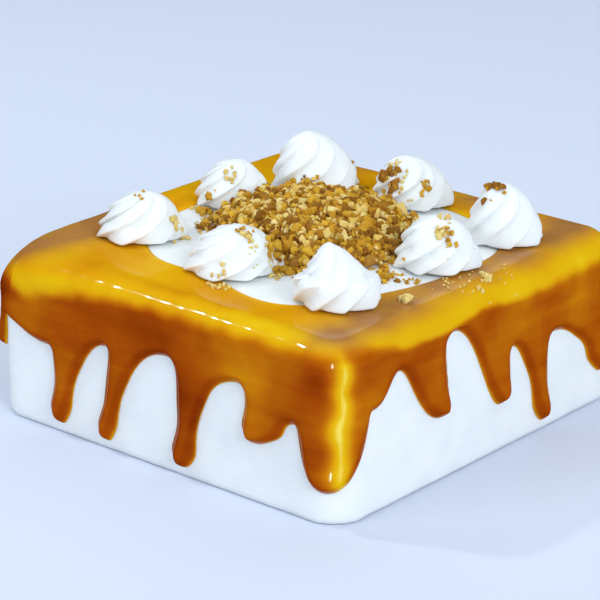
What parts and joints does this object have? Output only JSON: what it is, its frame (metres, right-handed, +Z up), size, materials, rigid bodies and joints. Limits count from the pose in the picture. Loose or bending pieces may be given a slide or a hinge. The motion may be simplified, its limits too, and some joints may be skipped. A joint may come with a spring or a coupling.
{
  "type": "butterscotch cake",
  "caption": "Square whipped-cream cake with butterscotch glaze dripping down its sides, piped cream rosettes on top and a heap of chopped nut brittle in their ring.",
  "frame": {"origin": "middle of the underside, on the surface that the cake stands on", "axes": "+Z up; -Y is the front face and +X the right face, the two faces that the picture shows"},
  "size_m": [0.2004, 0.2004, 0.107],
  "materials": {
    "whipped_cream": "soft satin whipped cream with faint comb lines",
    "butterscotch_glaze": "wet gloss, amber brown on the sides and yellow where it is thin",
    "piped_cream": "soft satin piped cream",
    "nut_brittle": "chopped caramelised nut, satin"
  },
  "bodies": {
    "root": {"cake": "whipped_cream", "glaze": "butterscotch_glaze", "rosette_1": "piped_cream", "rosette_2": "piped_cream", "rosette_3": "piped_cream", "rosette_4": "piped_cream", "rosette_5": "piped_cream", "rosette_6": "piped_cream", "rosette_7": "piped_cream", "rosette_8": "piped_cream", "nut_heap": "nut_brittle"}
  },
  "joints": []
}
